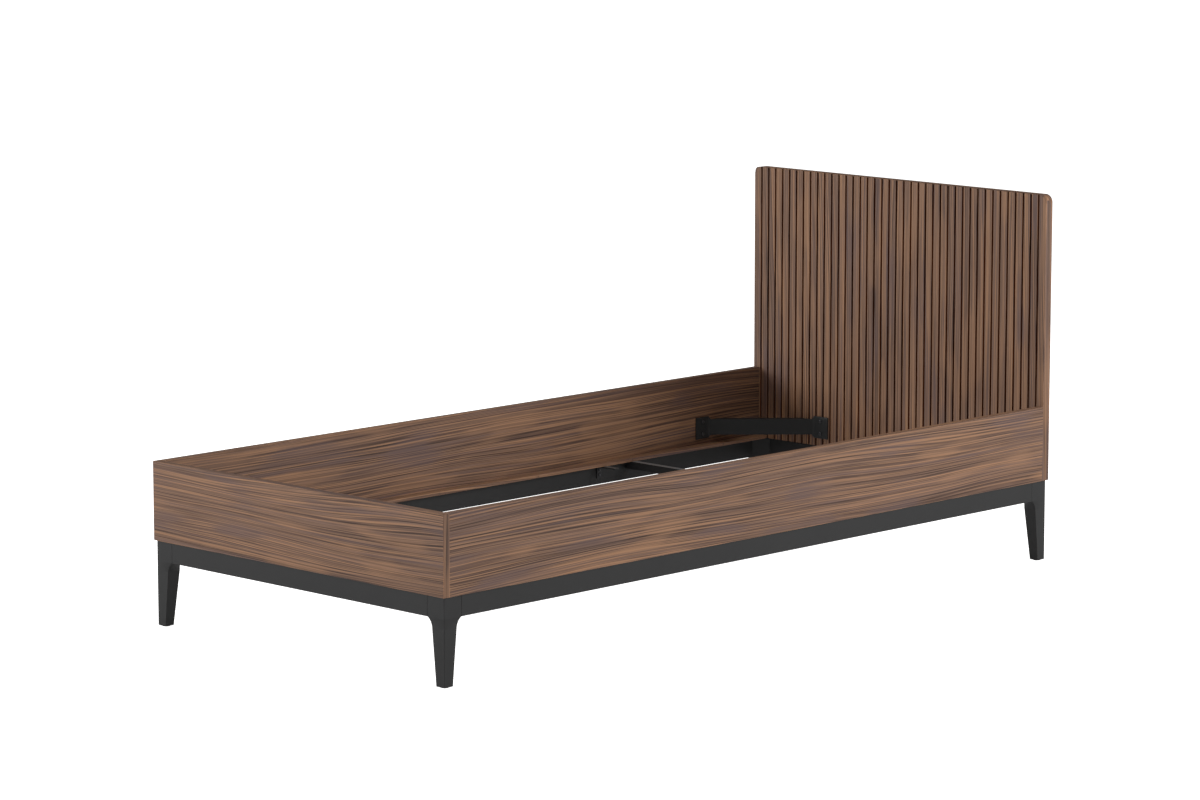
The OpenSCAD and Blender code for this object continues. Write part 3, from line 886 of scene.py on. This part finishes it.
for end in ("foot", "head"):
    for side in ("left", "right"):
        node = f"bar_angle_{end}_{side}"
        low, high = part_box(node)
        outX, inX = (high.x, low.x) if side == "right" else (low.x, high.x)
        nearY, farY = (low.y, high.y) if end == "head" else (high.y, low.y)
        path = [(inX, nearY, low.z), (outX, nearY, low.z), (outX, farY, low.z)]
        makeBentStrip(node, path, (0, 0, high.z - low.z), bracket["angleSteel"], Vector((inX, farY, low.z)))
        node = f"base_tab_{end}_{side}"
        low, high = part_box(node)
        outX, inX = (high.x, low.x) if side == "right" else (low.x, high.x)
        path = [(inX, low.y, high.z), (outX, low.y, high.z), (outX, low.y, low.z)]
        makeBentStrip(node, path, (0, high.y - low.y, 0), bracket["tabSteel"], Vector((inX, low.y, low.z)))
print("brackets and tabs made")

screws = {
    # head height, shank radius, whether the head is sunk, material, slot
    "brace_screws": (0.003, 0.0025, False, "screwBlack", "black_screw"),
    "small_screws": (0.002, 0.00175, False, "screwBlack", "black_screw"),
    "ledge_screws": (0.002, 0.00175, True, "bronze", "bronze_screw"),
    "box_screws": (0.003, 0.0025, False, "zinc", "zinc_screw"),
}
screwShape = {
    # shares of the head's radius
    "domedFlat": 0.62, "sunkFlat": 0.95, "slot": 0.11, "reach": 0.5,
    # shares of the head's height
    "domeRise": 0.75, "recess": 0.55,
    # shares of the shank's radius
    "pitch": 0.8, "root": 0.78, "neck": 0.7,
    "recessTaper": 0.62, "sunkStep": 0.0002, "domeSteps": 4, "sides": 20,
}
dowel = {"chamfer": 0.001, "groove": 0.0003, "segments": 24}


def separateSolids(node):
    # the points of each loose solid in a node
    bm = bmesh.new()
    bm.from_mesh(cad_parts[node].data)
    bmesh.ops.remove_doubles(bm, verts=bm.verts[:], dist=1e-6)
    found = set()
    solids = []
    for first in bm.verts:
        if first in found:
            continue
        found.add(first)
        group = [first]
        for vert in group:
            for edge in vert.link_edges:
                other = edge.other_vert(vert)
                if other not in found:
                    found.add(other)
                    group.append(other)
        solids.append([vert.co.copy() for vert in group])
    bm.free()
    return solids


def headAndTip(points):
    # the wide end of a screw is its head
    low = Vector([min(p[i] for p in points) for i in range(3)])
    high = Vector([max(p[i] for p in points) for i in range(3)])
    size = high - low
    axis = max(range(3), key=lambda i: size[i])
    middle = (low + high) / 2
    unit = Vector([1.0 if i == axis else 0.0 for i in range(3)])

    def widthNear(value):
        near = [p for p in points if abs(p[axis] - value) < size[axis] * 0.1]
        return max((p - middle - (p - middle)[axis] * unit).length for p in near)

    start, end = middle.copy(), middle.copy()
    start[axis], end[axis] = low[axis], high[axis]
    if widthNear(high[axis]) > widthNear(low[axis]):
        start, end = end, start
    radius = max(size[i] for i in range(3) if i != axis) / 2
    return start, end, radius


def placeFrom(template, bm, start, end):
    # copies a shape that hangs down from the origin, so that it runs from the start to the end
    turn = Vector((0, 0, -1)).rotation_difference((end - start).normalized()).to_matrix().to_4x4()
    mesh = bpy.data.meshes.new("template")
    template.to_mesh(mesh)
    mesh.transform(Matrix.Translation(start) @ turn)
    bm.from_mesh(mesh)
    bpy.data.meshes.remove(mesh)


def makeScrewShape(radius, headHeight, shank, length, sunk):
    if sunk:
        flat = radius * screwShape["sunkFlat"]
        profile = [(flat, 0.0), (radius, -screwShape["sunkStep"]), (shank, -headHeight)]
    else:
        flat = radius * screwShape["domedFlat"]
        profile = [(flat, 0.0)]
        for i in range(1, screwShape["domeSteps"] + 1):
            angle = math.radians(90 * i / screwShape["domeSteps"])
            out = flat + (radius - flat) * math.sin(angle)
            profile.append((out, -headHeight * screwShape["domeRise"] * (1 - math.cos(angle))))
        profile += [(radius, -headHeight), (shank, -headHeight)]
    pitch = shank * screwShape["pitch"]
    z = -headHeight - pitch
    while z > -length + pitch * 2.5:
        profile += [(shank * screwShape["root"], z), (shank, z - pitch / 2)]
        z -= pitch
    profile += [(shank * screwShape["neck"], -length + pitch * 1.5), (0.0, -length)]
    bm = bmesh.new()
    lathe(bm, profile, screwShape["sides"])
    rim = [e for e in bm.edges if e.is_boundary]
    bmesh.ops.holes_fill(bm, edges=rim, sides=64)
    slot = radius * screwShape["slot"]
    reach = radius * screwShape["reach"]
    for axis in ((1, 0, 0), (0, 1, 0)):
        for offset in (-reach, -slot, slot, reach):
            tops = [f for f in bm.faces if all(abs(v.co.z) < 1e-7 for v in f.verts)]
            edges = [e for e in bm.edges if any(f in tops for f in e.link_faces)]
            verts = [v for v in bm.verts if any(f in tops for f in v.link_faces)]
            bmesh.ops.bisect_plane(
                bm, geom=tops + edges + verts, dist=1e-8,
                plane_co=Vector(axis) * offset, plane_no=axis,
            )
    recess = []
    for face in bm.faces:
        middle = face.calc_center_median()
        nearer, further = sorted((abs(middle.x), abs(middle.y)))
        if nearer < slot and further < reach and abs(middle.z) < 1e-7:
            recess.append(face)
    sunkPart = bmesh.ops.extrude_face_region(bm, geom=recess)["geom"]
    bmesh.ops.delete(bm, geom=[f for f in recess if f.is_valid], context="FACES_ONLY")
    bmesh.ops.delete(bm, geom=[e for e in bm.edges if e.is_wire], context="EDGES")
    floor = [v for v in sunkPart if isinstance(v, bmesh.types.BMVert)]
    taper = screwShape["recessTaper"]
    bmesh.ops.scale(bm, vec=(taper, taper, 1), verts=floor)
    bmesh.ops.translate(bm, vec=(0, 0, -headHeight * screwShape["recess"]), verts=floor)
    bmesh.ops.recalc_face_normals(bm, faces=bm.faces)
    return bm


def makeScrews(node):
    headHeight, shank, sunk, material, slotName = screws[node]
    bm = bmesh.new()
    template = None
    for points in separateSolids(node):
        start, end, radius = headAndTip(points)
        if template is None:
            template = makeScrewShape(radius, headHeight, shank, (end - start).length, sunk)
        placeFrom(template, bm, start, end)
    template.free()
    newPiece(pieceName(node), bm, [node], [material], 1.0)


def makeDowels(node):
    bm = bmesh.new()
    template = None
    for points in separateSolids(node):
        start, end, radius = headAndTip(points)
        if template is None:
            length, cut = (end - start).length, dowel["chamfer"]
            template = bmesh.new()
            profile = [
                (0.0, 0.0), (radius - cut, 0.0), (radius, -cut),
                (radius, -length + cut), (radius - cut, -length), (0.0, -length),
            ]
            lathe(template, profile, dowel["segments"])
            sides = [f for f in template.faces if f.calc_area() > length * radius * 0.15]
            bmesh.ops.inset_individual(
                template, faces=sides[::2], thickness=radius * 0.05, depth=-dowel["groove"],
            )
            bmesh.ops.recalc_face_normals(template, faces=template.faces)
        placeFrom(template, bm, start, end)
    template.free()
    newPiece(pieceName(node), bm, [node], ["beech"])


for node in screws:
    makeScrews(node)
for node in ("rail_dowels", "apron_dowels"):
    makeDowels(node)
print("screws and dowels made")
